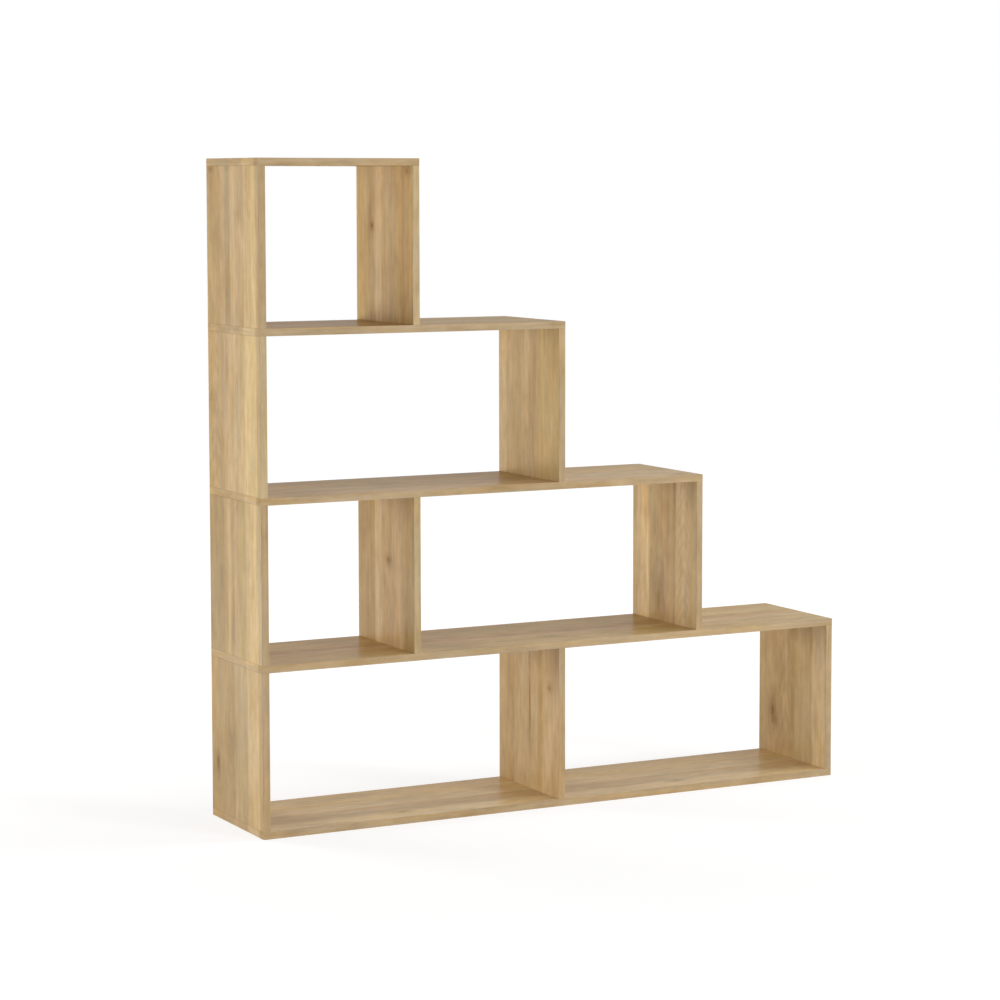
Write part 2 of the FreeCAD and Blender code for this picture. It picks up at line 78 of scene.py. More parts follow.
# Staves of each board's shown face, from its back edge to its front edge: tone and width in millimetres.
# The shown face is the left-hand face of an upright and the top of a level board.
STAVES = {
    "tier_1_left_side": (
        ("amber", 40), ("umber", 92), ("flax", 76), ("cream", 60), ("sand", 22),
    ),
    "tier_2_left_side": (
        ("walnut", 82), ("umber", 18), ("corn", 20), ("umber", 18), ("sand", 22), ("corn", 46),
        ("cream", 20), ("butter", 42), ("oat", 22),
    ),
    "tier_3_left_side": (
        ("honey", 40), ("fawn", 52), ("sand", 20), ("oat", 76), ("cream", 22), ("butter", 62), ("oat", 18),
    ),
    "tier_4_left_side": (
        ("honey", 75), ("sand", 27), ("grey", 30), ("oat", 28), ("sand", 46), ("cream", 40), ("butter", 28),
        ("sand", 16),
    ),
    "tier_4_right_side": (
        ("straw", 46), ("hazel", 20), ("olive", 22), ("hazel", 10), ("wheat", 32), ("flax", 36),
        ("hazel", 40), ("straw", 26), ("amber", 20), ("straw", 38),
    ),
    "tier_3_right_side": (
        ("wheat", 38), ("flax", 30), ("hazel", 42), ("flax", 18), ("wheat", 20), ("flax", 42), ("corn", 100),
    ),
    "tier_2_divider": (
        ("walnut", 74), ("olive", 14), ("wheat", 36), ("fawn", 104), ("olive", 22), ("walnut", 40),
    ),
    "tier_2_right_side": (
        ("flax", 22), ("oat", 18), ("cream", 34), ("hazel", 42), ("fawn", 80), ("wheat", 40), ("flax", 24),
        ("hazel", 30),
    ),
    "tier_1_divider": (
        ("fawn", 34), ("umber", 40), ("flax", 112), ("straw", 22), ("oat", 48), ("sand", 34),
    ),
    "tier_1_right_side": (
        ("hazel", 26), ("umber", 100), ("walnut", 30), ("hazel", 76), ("wheat", 58),
    ),
    # The level boards get darker from the bottom panel up to the third shelf. Beside the print's own tone,
    # this is painted light and shade: paler tops low down, and darker tops on the high shelves for the shade
    # that falls there.
    "bottom_panel": (
        ("cream", 54), ("butter", 60), ("linen", 48), ("oat", 36), ("wheat", 34), ("linen", 58),
    ),
    "first_shelf": (
        ("straw", 60), ("corn", 52), ("honey", 44), ("sand", 30), ("corn", 104),
    ),
    "second_shelf": (
        ("umber", 58), ("straw", 62), ("fawn", 50), ("flax", 68), ("sand", 52),
    ),
    "third_shelf": (
        ("walnut", 66), ("toast", 64), ("olive", 60), ("walnut", 40), ("toast", 60),
    ),
    "top_panel": (
        ("honey", 72), ("grey", 62), ("sand", 50), ("cream", 62), ("fawn", 44),
    ),
}
# Tones along the end strips of the level boards, from back to front, in millimetres
END_STAVES = (("honey", 60), ("fawn", 40), ("grey", 28), ("sand", 72), ("cream", 66), ("honey", 24))

# Knots and dark streaks of the shown faces, in millimetres. Their places are measured from the board's back
# edge and from its lower or left end, and depth is how dark they are.
Mark = namedtuple("Mark", "across along width length depth")
MARKS = {
    "tier_1_left_side": (
        Mark(36, 106, 20, 50, 1.05), Mark(104, 128, 24, 60, 0.26), Mark(226, 40, 5, 60, 0.16),
    ),
    "tier_2_left_side": (
        Mark(134, 90, 7, 80, 0.36), Mark(66, 180, 14, 120, 0.18),
    ),
    "tier_3_left_side": (
        Mark(104, 250, 8, 110, 0.26), Mark(30, 190, 24, 22, 0.26),
    ),
    "tier_4_left_side": (
        Mark(24, 335, 22, 13, 0.72), Mark(120, 338, 20, 9, 0.22), Mark(112, 60, 9, 70, 0.30),
    ),
    "tier_4_right_side": (
        Mark(82, 212, 12, 14, 1.20), Mark(73, 246, 10, 44, 0.50), Mark(262, 330, 22, 15, 0.66),
    ),
    "tier_3_right_side": (
        Mark(140, 60, 8, 80, 0.20), Mark(64, 230, 7, 120, 0.18),
    ),
    "tier_2_divider": (
        Mark(160, 192, 18, 14, 1.05), Mark(52, 120, 7, 100, 0.26), Mark(248, 60, 9, 90, 0.34),
    ),
    "tier_2_right_side": (
        Mark(120, 48, 26, 78, 0.70), Mark(192, 296, 6, 48, 0.54),
    ),
    "tier_1_divider": (
        Mark(151, 214, 4.0, 115, 1.35), Mark(245, 245, 13, 14, 0.84), Mark(204, 200, 9, 100, 0.30),
    ),
    "tier_1_right_side": (
        Mark(60, 107, 17, 40, 0.92), Mark(70, 82, 16, 26, 0.50), Mark(146, 128, 12, 80, 0.40),
    ),
    "bottom_panel": (
        Mark(240, 350, 18, 34, 0.62), Mark(240, 1052, 18, 34, 0.66), Mark(96, 640, 12, 50, 0.30),
    ),
    "first_shelf": (
        Mark(214, 742, 18, 36, 0.70), Mark(120, 1180, 10, 70, 0.32),
    ),
    "second_shelf": (
        Mark(250, 1052, 15, 20, 0.80), Mark(130, 330, 12, 70, 0.28),
    ),
    "third_shelf": (
        Mark(150, 420, 14, 28, 0.56), Mark(70, 120, 12, 40, 0.30),
    ),
    "top_panel": (
        Mark(190, 250, 14, 22, 0.70), Mark(80, 120, 14, 50, 0.30),
    ),
}

# Arched plain-sawn figure of some shown faces, in millimetres: its middle from the back edge, its half width
# and the spacing of its arches
Figure = namedtuple("Figure", "across half_width spacing")
FIGURES = {
    "tier_2_right_side": Figure(232, 34, 34),
    "tier_3_left_side": Figure(40, 44, 46),
    "tier_1_right_side": Figure(118, 34, 60),
    "top_panel": Figure(92, 40, 70),
    "first_shelf": Figure(150, 46, 120),
}

# Cells of stretched noise: their length along the grain and their width in millimetres, and the detail and
# roughness of the noise
Cells = namedtuple("Cells", "length width detail roughness")


# Node graphs

def linear(display):
    """Turns a display colour of 0 to 255 into the linear colour that a shader takes."""
    def channel(value):
        share = value / 255
        return share / 12.92 if share <= 0.04045 else ((share + 0.055) / 1.055) ** 2.4
    return (*(channel(value) for value in display), 1.0)


class Graph:
    """Adds nodes to one node tree and links them as they are made."""

    def __init__(self, tree):
        self.tree = tree

    def feed(self, node, inputs):
        """Links or sets inputs of a node, given by name or number."""
        for name, value in inputs.items():
            if isinstance(value, bpy.types.NodeSocket):
                self.tree.links.new(value, node.inputs[name])
            else:
                node.inputs[name].default_value = value

    def node(self, kind, inputs=None, **settings):
        made = self.tree.nodes.new(kind)
        for name, value in settings.items():
            setattr(made, name, value)
        self.feed(made, inputs or {})
        return made

    def group(self, tree, inputs):
        return self.node("ShaderNodeGroup", inputs, node_tree=tree).outputs

    def math(self, operation, *values):
        return self.node("ShaderNodeMath", dict(enumerate(values)), operation=operation).outputs[0]

    def vector_math(self, operation, *values):
        return self.node("ShaderNodeVectorMath", dict(enumerate(values)), operation=operation).outputs[0]

    def scaled(self, vector, scale):
        return self.node("ShaderNodeVectorMath", {0: vector, "Scale": scale}, operation="SCALE").outputs[0]

    def vector(self, x, y, z):
        return self.node("ShaderNodeCombineXYZ", {"X": x, "Y": y, "Z": z}).outputs[0]

    def clamped(self, value):
        return self.node("ShaderNodeClamp", {"Value": value}).outputs[0]

    def between(self, share, low, high):
        """The value at a share of the way from low to high."""
        return self.math("MULTIPLY_ADD", share, high - low, low)

    def fade(self, value, rate):
        """1 where the value is 0, and less the larger it is."""
        return self.math("EXPONENT", self.math("MULTIPLY", value, -rate))

    def mix(self, factor, first, second):
        """A blend of two colours, by the node's colour sockets."""
        made = self.node("ShaderNodeMix", {0: factor, 6: first, 7: second}, data_type="RGBA")
        return made.outputs[2]

    def mix_shader(self, factor, first, second):
        return self.node("ShaderNodeMixShader", {0: factor, 1: first, 2: second}).outputs[0]

    def object_place(self):
        """The place of a point in the frame of the part."""
        return self.node("ShaderNodeTexCoord").outputs["Object"]

    def axes(self, vector):
        return self.node("ShaderNodeSeparateXYZ", {0: vector}).outputs

    def noise(self, vector, scale, detail, roughness):
        inputs = {"Vector": vector, "Scale": scale, "Detail": detail, "Roughness": roughness}
        return self.node("ShaderNodeTexNoise", inputs).outputs[0]

    def stretched_noise(self, along, across, seed, cells):
        """Noise about 0 whose cells are stretched along the grain."""
        cell_along = self.math("DIVIDE", along, cells.length * MM)
        cell_across = self.math("DIVIDE", across, cells.width * MM)
        noise = self.noise(self.vector(cell_along, cell_across, seed), 1.0, cells.detail, cells.roughness)
        return self.math("SUBTRACT", noise, 0.5)

    def total(self, weights, layers, start=0.0):
        """The start value and the layers that have a weight, each times its weight."""
        result = start
        for name, weight in weights.items():
            result = self.math("MULTIPLY_ADD", layers[name], weight, result)
        return result


def bare_graph(block):
    """The graph of a material or a world, emptied."""
    block.use_nodes = True
    block.node_tree.nodes.clear()
    return Graph(block.node_tree)


COLOUR_SOCKETS = ("Tone", "Color")


def new_group(name, inputs, outputs):
    """A shader node group with these sockets. Returns its graph, its input sockets and its tree."""
    tree = bpy.data.node_groups.new(name, "ShaderNodeTree")
    for direction, sockets in (("INPUT", inputs), ("OUTPUT", outputs)):
        for socket in sockets:
            kind = "NodeSocketColor" if socket in COLOUR_SOCKETS else "NodeSocketFloat"
            tree.interface.new_socket(socket, in_out=direction, socket_type=kind)
    graph = Graph(tree)
    return graph, graph.node("NodeGroupInput").outputs, tree


def close_group(graph, **results):
    """Links a group's results to its output sockets."""
    graph.node("NodeGroupOutput", results)


# Knots and streaks

# The noise that makes their outline ragged. It multiplies the squared distance from the middle by a least
# factor plus up to an added one.
RAG_SCALE, RAG_DETAIL, RAG_ROUGHNESS = 70.0, 3.0, 0.6
RAG_LEAST, RAG_ADDED = 0.3, 1.4
# How fast halo and core fade outward, and how dark they are
HALO_FADE, CORE_FADE = 0.7, 4.0
HALO_SHADE, CORE_SHADE = 0.36, 0.5
# The rings in the halo: their phase at its rim, in radians, and how dark they are
RING_PHASE, RING_SHADE = 11.0, 0.08
# How strongly a mark pushes the grain aside
GRAIN_PUSH = 0.8


def mark_group():
    """One knot or dark streak: it darkens the print and the grain flows round it."""
    graph, given, tree = new_group(
        "oak_mark",
        ("Along", "Across", "Shade", "MarkAlong", "MarkAcross", "Length", "Width", "Depth"),
        ("Across", "Shade"),
    )
    ahead = graph.math("SUBTRACT", given["Along"], given["MarkAlong"])
    aside = graph.math("SUBTRACT", given["Across"], given["MarkAcross"])
    ahead_share = graph.math("DIVIDE", ahead, given["Length"])
    aside_share = graph.math("DIVIDE", aside, given["Width"])
    aside_square = graph.math("MULTIPLY", aside_share, aside_share)
    oval = graph.math("MULTIPLY_ADD", ahead_share, ahead_share, aside_square)
    place = graph.vector(given["Along"], given["Across"], given["Depth"])
    rag = graph.noise(place, RAG_SCALE, RAG_DETAIL, RAG_ROUGHNESS)
    square = graph.math("MULTIPLY", oval, graph.math("MULTIPLY_ADD", rag, RAG_ADDED, RAG_LEAST))
    halo = graph.fade(square, HALO_FADE)
    core = graph.fade(square, CORE_FADE)
    rings = graph.math("SINE", graph.math("MULTIPLY", graph.math("SQRT", square), RING_PHASE))
    ringed = graph.math("MULTIPLY", halo, graph.math("MULTIPLY_ADD", rings, RING_SHADE, HALO_SHADE))
    dark = graph.math("MULTIPLY_ADD", core, CORE_SHADE, ringed)
    shade = graph.math("MULTIPLY_ADD", dark, given["Depth"], given["Shade"])
    push = graph.math("MULTIPLY", graph.math("MULTIPLY", aside, halo), GRAIN_PUSH)
    close_group(graph, Across=graph.math("SUBTRACT", given["Across"], push), Shade=shade)
    return tree


# Arched figure

# How the arches waver, and how far, in arch spacings
ARCH_WAVER = Cells(90, 16, 3.0, 0.6)
ARCH_WAVER_REACH = 1.5
# How many arch spacings an arch drops at the edge of the figure, and how sharply the figure ends there
ARCH_DROP = 1.6
ARCH_EDGE_POWER = 4.0


def figure_group():
    """Arches of plain-sawn grain, as a value about 0."""
    graph, given, tree = new_group(
        "oak_figure", ("Along", "Across", "Seed", "Middle", "HalfWidth", "Spacing"), ("Figure",)
    )
    aside = graph.math("SUBTRACT", given["Across"], given["Middle"])
    share = graph.math("DIVIDE", aside, given["HalfWidth"])
    edge = graph.math("POWER", graph.math("ABSOLUTE", share), ARCH_EDGE_POWER)
    inside = graph.fade(edge, 1.0)
    waver = graph.stretched_noise(given["Along"], given["Across"], given["Seed"], ARCH_WAVER)
    steps = graph.math("DIVIDE", given["Along"], given["Spacing"])
    arch = graph.math("MULTIPLY_ADD", graph.math("MULTIPLY", share, share), ARCH_DROP, steps)
    wavering = graph.math("MULTIPLY_ADD", waver, ARCH_WAVER_REACH, arch)
    phase = graph.math("MULTIPLY", wavering, 2 * math.pi)
    close_group(graph, Figure=graph.math("MULTIPLY", graph.math("SINE", phase), inside))
    return tree


# Grain

GRAIN_LAYERS = {
    "broad": Cells(700, 17, 2.0, 0.5),
    "streaks": Cells(420, 5, 3.0, 0.6),
    "lines": Cells(90, 1.1, 2.0, 0.6),
    "clouds": Cells(160, 60, 3.0, 0.55),
    "flecks": Cells(75, 9, 3.0, 0.6),
    "blotches": Cells(42, 20, 3.0, 0.6),
    "pores": Cells(14, 0.5, 1.0, 0.5),
}
# How much each layer adds to the print's lightness, to its roughness and to its height
LIGHT_WEIGHTS = {
    "broad": 0.36, "streaks": 0.40, "lines": 0.20, "clouds": 0.75, "flecks": 0.60, "blotches": 0.55,
    "figure": 0.07, "pits": -0.10,
}
ROUGHNESS_WEIGHTS = {"lines": -0.10, "pits": 0.16, "clouds": 0.06}
HEIGHT_WEIGHTS = {"lines": 0.45, "streaks": 0.35, "pits": -0.8}
MEAN_ROUGHNESS = 0.35
# Pores become pits above this level of their noise, and deepen by this factor
PIT_LEVEL, PIT_CONTRAST = 0.10, 4.0
# How far the grain wanders sideways
WANDER = Cells(420, 120, 2.0, 0.5)
WANDER_REACH = 14 * MM
# How lightness and warmth change red, green and blue, and the cells of the warmth
LIGHT_SWING = (0.62, 0.74, 0.95)
WARMTH_SWING = (0.20, -0.03, -0.58)
WARMTH = Cells(190, 15, 2.0, 0.55)
WARMTH_SEED_STEP = 2.7
# The share of red, green and blue that the heart of a dark knot takes from the print. The painted joint
# shadow at the ends of the uprights darkens the print the same way.
KNOT_LOSS = (0.56, 0.66, 0.84)
# The print never gets darker than this
DARKEST = (0.01, 0.006, 0.003)
UNCHANGED = (1.0, 1.0, 1.0)


def grain_group():
    """The oak print: a tone broken up by streaks, grain lines, pores and marks, and darkened by the painted
    joint shadow that comes in with the shade.
    """
    graph, given, tree = new_group(
        "oak_grain",
        ("Along", "Across", "Seed", "Figure", "Shade", "Tone"),
        ("Color", "Roughness", "Height"),
    )
    along, seed = given["Along"], given["Seed"]
    wander = graph.stretched_noise(along, given["Across"], seed, WANDER)
    across = graph.math("MULTIPLY_ADD", wander, WANDER_REACH, given["Across"])
    warmth = graph.stretched_noise(along, across, graph.math("ADD", seed, WARMTH_SEED_STEP), WARMTH)
    layers = {
        name: graph.stretched_noise(along, across, seed, cells) for name, cells in GRAIN_LAYERS.items()
    }
    above = graph.math("SUBTRACT", layers["pores"], PIT_LEVEL)
    layers["pits"] = graph.clamped(graph.math("MULTIPLY", above, PIT_CONTRAST))
    layers["figure"] = given["Figure"]

    swing = graph.scaled(LIGHT_SWING, graph.total(LIGHT_WEIGHTS, layers))
    turn = graph.scaled(WARMTH_SWING, warmth)
    factor = graph.vector_math("ADD", graph.vector_math("ADD", swing, turn), UNCHANGED)
    wood = graph.vector_math("MULTIPLY", given["Tone"], factor)
    kept = graph.vector_math("SUBTRACT", UNCHANGED, graph.scaled(KNOT_LOSS, given["Shade"]))
    colour = graph.vector_math("MAXIMUM", graph.vector_math("MULTIPLY", wood, kept), DARKEST)
    roughness = graph.total(ROUGHNESS_WEIGHTS, layers, MEAN_ROUGHNESS)
    close_group(graph, Color=colour, Roughness=roughness, Height=graph.total(HEIGHT_WEIGHTS, layers))
    return tree


MARK_GROUP = mark_group()
FIGURE_GROUP = figure_group()
GRAIN_GROUP = grain_group()


# Surfaces

# The specular level of a surface without film
BARE_GLOSS = 0.05
# The clear film over the print
FILM_WEIGHT = 0.38
FILM_ROUGHNESS = 0.28
FILM_IOR = 1.5
# How much of the relief the bump shows
BUMP_STRENGTH = 0.6


def new_material(name):
    """A material with one Principled shader. Returns the material, its graph and the shader."""
    material = bpy.data.materials.new(name)
    graph = bare_graph(material)
    shader = graph.node("ShaderNodeBsdfPrincipled", {"Specular IOR Level": BARE_GLOSS})
    graph.node("ShaderNodeOutputMaterial", {"Surface": shader.outputs[0]})
    return material, graph, shader


def lay_film(graph, shader):
    """Covers the print with its clear film, whose sheen takes the place of the print's own gloss."""
    graph.feed(shader, {
        "Specular IOR Level": 0.0,
        "Coat Weight": FILM_WEIGHT,
        "Coat Roughness": FILM_ROUGHNESS,
        "Coat IOR": FILM_IOR,
    })


def finish_surface(graph, shader, colour, roughness, height, relief):
    """Links colour, roughness and a bump of this relief, in metres, to the shader."""
    bump = graph.node("ShaderNodeBump", {"Strength": BUMP_STRENGTH, "Distance": relief, "Height": height})
    graph.feed(shader, {"Base Color": colour, "Roughness": roughness, "Normal": bump.outputs[0]})


# Boards

# Half the width of the soft joint between two staves, and how far the joint wavers
HALF_JOINT = 4 * MM
JOINT_WAVER = Cells(170, 34, 3.0, 0.6)
JOINT_WAVER_REACH = 12 * MM
# The hidden face of a board has the shown face's print, moved across by this share of its depth
HIDDEN_MOVE_SHARE = 0.37
HIDDEN_SEED_STEP = 5.3
# The painted shadow of the joint where an upright meets the level boards: a thin dark line at each end of
# the upright
SEAM = 1.0 * MM
SEAM_PAINTED_SHADOW = 0.32
# The print covers what lies this near to a face, and chipboard shows further in
PRINT_SKIN = 0.2 * MM
BOARD_RELIEF = 0.15 * MM
CHIP_TONES = ((196, 170, 128), (142, 112, 76))
CHIPS_PER_METRE = 420.0


def stave_tones(graph, share, staves):
    """The tone at a share of the way from back edge to front edge, with soft joints between staves."""
    ramp = graph.node("ShaderNodeValToRGB", {"Fac": share})
    joint = HALF_JOINT / DEPTH
    total = sum(width for tone, width in staves)
    stops = []
    edge = 0.0
    for tone, width in staves:
        stops.append((edge + joint, tone))
        edge += width / total
        stops.append((edge - joint, tone))
    elements = ramp.color_ramp.elements
    while len(elements) < len(stops):
        elements.new(1.0)
    for element, (position, tone) in zip(elements, stops):
        element.position = position
        element.color = linear(TONES[tone])
    return ramp.outputs["Color"]


def wavering_staves(graph, along, across, seed, staves):
    """The tone of a board's face, whose joints waver a little along the grain."""
    waver = graph.stretched_noise(along, across, seed, JOINT_WAVER)
    wavering = graph.math("MULTIPLY_ADD", waver, JOINT_WAVER_REACH, across)
    return stave_tones(graph, graph.math("DIVIDE", wavering, DEPTH), staves)


def painted_seam_shadow(graph, forward, length):
    """The painted shadow of the joints at both ends of an upright, which goes into the shade of the print.
    """
    off_middle = graph.math("ABSOLUTE", graph.math("SUBTRACT", forward, length / 2))
    at_end = graph.math("GREATER_THAN", off_middle, length / 2 - SEAM)
    return graph.math("MULTIPLY", at_end, SEAM_PAINTED_SHADOW)


def lay_marks(graph, marks, along, across, shade):
    """Lays one mark after another. Returns the place across the bent grain, and the shade."""
    for mark in marks:
        made = graph.group(MARK_GROUP, {
            "Along": along, "Across": across, "Shade": shade,
            "MarkAlong": mark.along * MM, "MarkAcross": mark.across * MM,
            "Length": mark.length * MM, "Width": mark.width * MM, "Depth": mark.depth,
        })
        across, shade = made["Across"], made["Shade"]
    return across, shade


def arched_figure(graph, figure, along, across, seed):
    """The arches of one figure, as a value about 0."""
    return graph.group(FIGURE_GROUP, {
        "Along": along, "Across": across, "Seed": seed,
        "Middle": figure.across * MM, "HalfWidth": figure.half_width * MM, "Spacing": figure.spacing * MM,
    })["Figure"]


def chipboard(graph):
    """The core of the board, seen in its bores: pressed flakes of two tones."""
    inputs = {"Vector": graph.object_place(), "Scale": CHIPS_PER_METRE}
    flakes = graph.node("ShaderNodeTexVoronoi", inputs).outputs["Color"]
    grey = graph.node("ShaderNodeSeparateColor", {0: flakes}).outputs[0]
    first, second = (linear(tone) for tone in CHIP_TONES)
    return graph.mix(grey, first, second)


def oak_board(name, seed, upright):
    """The finish of one board: print on its two faces, with a painted shadow at an upright's joints, and
    chipboard inside.
    """
    material, graph, shader = new_material("oak_" + name)
    lay_film(graph, shader)
    low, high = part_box(name)
    x, y, z = graph.axes(graph.object_place())
    if upright:
        forward, length = graph.math("SUBTRACT", z, low.z), high.z - low.z
        through, thickness, middle = x, high.x - low.x, (low.x + high.x) / 2
        hidden = graph.math("GREATER_THAN", through, middle)
        # The shade of an upright starts as the painted shadow of its joints, and its knots add to it below
        shade = painted_seam_shadow(graph, forward, length)
    else:
        forward, length = graph.math("SUBTRACT", x, low.x), high.x - low.x
        through, thickness, middle = z, high.z - low.z, (low.z + high.z) / 2
        hidden = graph.math("LESS_THAN", through, middle)
        shade = 0.0

    # The hidden face has the same print turned end for end and moved across, so that the two faces differ
    turned = graph.math("SUBTRACT", length, graph.math("MULTIPLY", forward, 2.0))
    along = graph.math("MULTIPLY_ADD", hidden, turned, forward)
    inward = graph.math("SUBTRACT", BACK_Y, y)
    moved = graph.math("MULTIPLY_ADD", hidden, HIDDEN_MOVE_SHARE * DEPTH, inward)
    across = graph.math("WRAP", moved, DEPTH, 0.0)
    face_seed = graph.math("MULTIPLY_ADD", hidden, HIDDEN_SEED_STEP, seed)

    tone = wavering_staves(graph, along, across, face_seed, STAVES[name])
    flowed, shade = lay_marks(graph, MARKS[name], along, across, shade)
    figure = 0.0
    if name in FIGURES:
        figure = arched_figure(graph, FIGURES[name], along, flowed, face_seed)
    grain = graph.group(GRAIN_GROUP, {
        "Along": along, "Across": flowed, "Seed": face_seed, "Figure": figure, "Shade": shade, "Tone": tone,
    })
    off_middle = graph.math("ABSOLUTE", graph.math("SUBTRACT", through, middle))
    printed = graph.math("GREATER_THAN", off_middle, thickness / 2 - PRINT_SKIN)
    colour = graph.mix(printed, chipboard(graph), grain["Color"])
    finish_surface(graph, shader, colour, grain["Roughness"], grain["Height"], BOARD_RELIEF)
    return material


# Edging

# How the two tones of a strip drift, and how strongly
EDGE_DRIFT = Cells(300, 40, 2.0, 0.5)
EDGE_DRIFT_CONTRAST = 2.2
EDGE_RELIEF = 0.12 * MM


def faces_sideways(graph):
    """1 on the end strips of a level board, and 0 on its front and back strips."""
    normal = graph.axes(graph.node("ShaderNodeNewGeometry").outputs["Normal"])
    return graph.math("GREATER_THAN", graph.math("ABSOLUTE", normal[0]), graph.math("ABSOLUTE", normal[1]))


def oak_edging(board, seed, upright):
    """The finish of one board's edging strips: the print runs along each strip."""
    material, graph, shader = new_material("oak_" + board + "_edging")
    lay_film(graph, shader)
    x, y, z = graph.axes(graph.object_place())
    if upright:
        along, across = z, x
    else:
        at_end = faces_sideways(graph)
        along = graph.math("MULTIPLY_ADD", at_end, graph.math("SUBTRACT", y, x), x)
        across = z
    noise = graph.stretched_noise(along, across, seed, EDGE_DRIFT)
    drift = graph.clamped(graph.math("MULTIPLY_ADD", noise, EDGE_DRIFT_CONTRAST, 0.5))
    first, second = PALE_EDGE_TONES if board in PALE_EDGED else EDGE_TONES
    tone = graph.mix(drift, linear(first), linear(second))
    if not upright:
        share = graph.math("DIVIDE", graph.math("SUBTRACT", BACK_Y, y), DEPTH)
        tone = graph.mix(at_end, tone, stave_tones(graph, share, END_STAVES))
    grain = graph.group(GRAIN_GROUP, {
        "Along": along, "Across": across, "Seed": seed, "Figure": 0.0, "Shade": 0.0, "Tone": tone,
    })
    finish_surface(graph, shader, grain["Color"], grain["Roughness"], grain["Height"], EDGE_RELIEF)
    return material


# Dowels

BEECH_TONES = ((206, 166, 120), (228, 196, 154))
BEECH_ROUGHNESS = (0.5, 0.7)
BEECH_RELIEF = 0.1 * MM
# Cells of the fibres' noise in a metre
FIBRES_ACROSS, FIBRES_ALONG = 900.0, 60.0
FIBRE_DETAIL, FIBRE_ROUGHNESS = 3.0, 0.6


def beech():
    """Dowels: plain pale wood with fine grain along the dowel."""
    material, graph, shader = new_material("beech")
    x, y, z = graph.axes(graph.object_place())
    place = graph.vector(
        graph.math("MULTIPLY", x, FIBRES_ACROSS),
        graph.math("MULTIPLY", y, FIBRES_ACROSS),
        graph.math("MULTIPLY", z, FIBRES_ALONG),
    )
    fibres = graph.noise(place, 1.0, FIBRE_DETAIL, FIBRE_ROUGHNESS)
    first, second = (linear(tone) for tone in BEECH_TONES)
    colour = graph.mix(fibres, first, second)
    roughness = graph.between(fibres, *BEECH_ROUGHNESS)
    finish_surface(graph, shader, colour, roughness, fibres, BEECH_RELIEF)
    return material


# Bolts and cams

Metal = namedtuple("Metal", "tone roughness spots_per_metre")
STEEL = Metal((206, 205, 200), (0.22, 0.42), 400.0)
ZINC = Metal((178, 180, 184), (0.38, 0.62), 260.0)
# The tone of the darkest spots, as a share of the metal's
DARK_SPOT_SHARE = 0.86
SPOT_DETAIL, SPOT_ROUGHNESS = 4.0, 0.6
METAL_RELIEF = 0.05 * MM


def bare_metal(name, metal):
    """Bare metal whose tone and gloss vary finely over the surface."""
    material, graph, shader = new_material(name)
    spots = graph.noise(graph.object_place(), metal.spots_per_metre, SPOT_DETAIL, SPOT_ROUGHNESS)
    darker = tuple(channel * DARK_SPOT_SHARE for channel in metal.tone)
    colour = graph.mix(spots, linear(darker), linear(metal.tone))
    roughness = graph.between(spots, *metal.roughness)
    graph.feed(shader, {"Metallic": 1.0})
    finish_surface(graph, shader, colour, roughness, spots, METAL_RELIEF)
    return material


# Cover caps

CAP_TONES = ((190, 159, 118), (203, 172, 130))
CAP_ROUGHNESS = (0.40, 0.56)
CAP_RELIEF = 0.05 * MM
TEXTURE_SCALE, TEXTURE_DETAIL = 1800.0, 2.0
SWIRL_SCALE, SWIRL_DETAIL = 90.0, 3.0
CAP_NOISE_ROUGHNESS = 0.5


def cap_plastic():
    """Cover caps: plastic in the colour of the board, with a fine moulded texture."""
    material, graph, shader = new_material("oak_plastic")
    place = graph.object_place()
    texture = graph.noise(place, TEXTURE_SCALE, TEXTURE_DETAIL, CAP_NOISE_ROUGHNESS)
    swirl = graph.noise(place, SWIRL_SCALE, SWIRL_DETAIL, CAP_NOISE_ROUGHNESS)
    first, second = (linear(tone) for tone in CAP_TONES)
    colour = graph.mix(swirl, first, second)
    roughness = graph.between(texture, *CAP_ROUGHNESS)
    finish_surface(graph, shader, colour, roughness, texture, CAP_RELIEF)
    return material


# Dressing

# Seeds that give each board and its edging a grain of their own
FIRST_SEED = 3.0
SEED_STEP = 11.7
EDGING_SEED_STEP = 6.8


def dress(node, material):
    """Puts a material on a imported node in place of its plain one."""
    mesh = NODES[node].data
    mesh.materials.clear()
    mesh.materials.append(material)


def dress_part():
    """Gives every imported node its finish."""
    for index, name in enumerate(sorted(STAVES)):
        upright = name in UPRIGHTS
        seed = FIRST_SEED + SEED_STEP * index
        dress(name, oak_board(name, seed, upright))
        dress(name + "_edging", oak_edging(name, seed + EDGING_SEED_STEP, upright))
    hardware = {
        "dowels": beech(),
        "bolts": bare_metal("plated_steel", STEEL),
        "cams": bare_metal("zinc", ZINC),
        "caps": cap_plastic(),
    }
    for name in NODES:
        kind = name.rsplit("_", 1)[-1]
        if kind in hardware:
            dress(name, hardware[kind])


# Studio

WHITE = (1.0, 1.0, 1.0, 1.0)
WORLD_LEVEL = 0.37
# Lamps: place and size in metres, power in watts. The key lamp is far away, to light the front evenly.
Lamp = namedtuple("Lamp", "place size power")
LAMPS = {
    "key": Lamp(Vector((12.6, -21.0, 3.5)), 6.0, 3570.0),
    "rim": Lamp(Vector((-2.8, 3.2, 0.8)), 1.6, 119.0),
    "high": Lamp(Vector((3.0, -1.0, 3.2)), 1.6, 52.0),
}
LAMP_AIM = Vector((0.1, 0.0, 0.7))
FLOOR_RADIUS = 14.0
FLOOR_SIDES = 96
FLOOR_DROP = 0.4 * MM
# The floor's grey where it throws light back at the part, and where it is seen
FLOOR_BOUNCE = (0.8, 0.8, 0.8, 1.0)
FLOOR_SHADE = (0.40, 0.40, 0.40, 1.0)
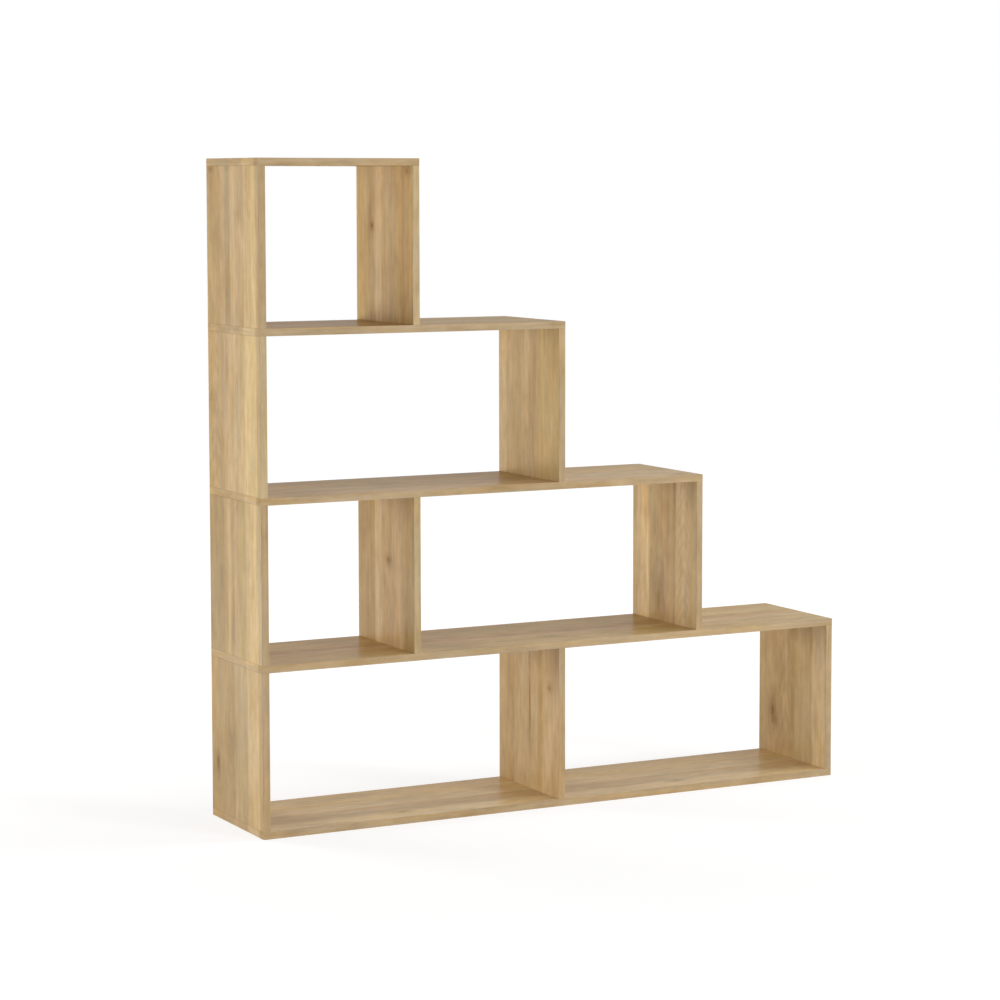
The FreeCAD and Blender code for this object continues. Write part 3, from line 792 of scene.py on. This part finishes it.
# The floor's own glow makes up for the lamps' light, which falls off between these distances from the middle
GLOW_FROM, GLOW_TO = 1.0, 4.0
GLOW_NEAR, GLOW_FAR = 0.73, 0.855


def seen_directly(graph):
    """1 for rays that show the background itself: from the camera, or by way of gloss or glass."""
    path = graph.node("ShaderNodeLightPath").outputs
    seen = graph.math("MAXIMUM", path["Is Camera Ray"], path["Is Glossy Ray"])
    return graph.math("MAXIMUM", seen, path["Is Transmission Ray"])


def make_world():
    """Even soft light from all round, and a white background."""
    world = bpy.data.worlds.new("studio")
    bpy.context.scene.world = world
    graph = bare_graph(world)
    light = graph.node("ShaderNodeBackground", {"Color": WHITE, "Strength": WORLD_LEVEL}).outputs[0]
    white = graph.node("ShaderNodeBackground", {"Color": WHITE, "Strength": 1.0}).outputs[0]
    surface = graph.mix_shader(seen_directly(graph), light, white)
    graph.node("ShaderNodeOutputWorld", {"Surface": surface})


def floor_white():
    """White that shows the shadow of the part, and that throws back light as a pale floor does."""
    material = bpy.data.materials.new("floor_white")
    graph = bare_graph(material)
    bounce = graph.node("ShaderNodeBsdfDiffuse", {"Color": FLOOR_BOUNCE}).outputs[0]
    shaded = graph.node("ShaderNodeBsdfDiffuse", {"Color": FLOOR_SHADE}).outputs[0]
    from_middle = graph.node("ShaderNodeVectorMath", {0: graph.object_place()}, operation="LENGTH")
    level = graph.node("ShaderNodeMapRange", {
        "Value": from_middle.outputs["Value"],
        "From Min": GLOW_FROM, "From Max": GLOW_TO, "To Min": GLOW_NEAR, "To Max": GLOW_FAR,
    }).outputs[0]
    glow = graph.node("ShaderNodeEmission", {"Color": WHITE, "Strength": level}).outputs[0]
    white = graph.node("ShaderNodeAddShader", {0: shaded, 1: glow}).outputs[0]
    surface = graph.mix_shader(seen_directly(graph), bounce, white)
    graph.node("ShaderNodeOutputMaterial", {"Surface": surface})
    return material


def make_floor():
    """A round white floor that keeps the shadow of the part."""
    mesh = bpy.data.meshes.new("floor")
    shape = bmesh.new()
    bmesh.ops.create_circle(shape, cap_ends=True, segments=FLOOR_SIDES, radius=FLOOR_RADIUS)
    shape.to_mesh(mesh)
    shape.free()
    mesh.materials.append(floor_white())
    floor = bpy.data.objects.new("floor", mesh)
    floor.location.z = -FLOOR_DROP
    bpy.context.scene.collection.objects.link(floor)


def make_lamp(name, place, size, power):
    """A broad soft light that is turned to the part and can't be seen itself."""
    data = bpy.data.lights.new(name, "AREA")
    data.energy = power
    data.size = size
    lamp = bpy.data.objects.new(name, data)
    lamp.location = place
    lamp.rotation_mode = "QUATERNION"
    lamp.rotation_quaternion = (LAMP_AIM - place).to_track_quat("-Z", "Y")
    lamp.visible_camera = False
    lamp.visible_glossy = False
    bpy.context.scene.collection.objects.link(lamp)


# Camera

# The focal length and the principal point are in pixels of the 1000 x 1000 picture, and the sensor is in
# millimetres. Heading and pitch are in radians, clockwise from +Y and up from the level.
PICTURE = 1000
PRINCIPAL_POINT = (550, 445)
FOCAL_LENGTH = 2925.28
SENSOR = 36.0
CAMERA_PLACE = Vector((-3.11023, -5.83840, 1.39807))
HEADING = 0.4958
PITCH = -0.0895


def make_camera():
    """The viewpoint of the picture: front left, just below the height of the top."""
    data = bpy.data.cameras.new("camera")
    data.sensor_width = SENSOR
    data.lens = FOCAL_LENGTH / PICTURE * SENSOR
    data.shift_x = 0.5 - PRINCIPAL_POINT[0] / PICTURE
    data.shift_y = PRINCIPAL_POINT[1] / PICTURE - 0.5
    camera = bpy.data.objects.new("camera", data)
    forward = Vector((
        math.sin(HEADING) * math.cos(PITCH), math.cos(HEADING) * math.cos(PITCH), math.sin(PITCH)
    ))
    camera.location = CAMERA_PLACE
    camera.rotation_mode = "QUATERNION"
    camera.rotation_quaternion = forward.to_track_quat("-Z", "Y")
    bpy.context.scene.collection.objects.link(camera)
    bpy.context.scene.camera = camera


bpy.context.scene.view_settings.view_transform = "Standard"
dress_part()
make_world()
make_floor()
for name, lamp in LAMPS.items():
    make_lamp(name, *lamp)
make_camera()
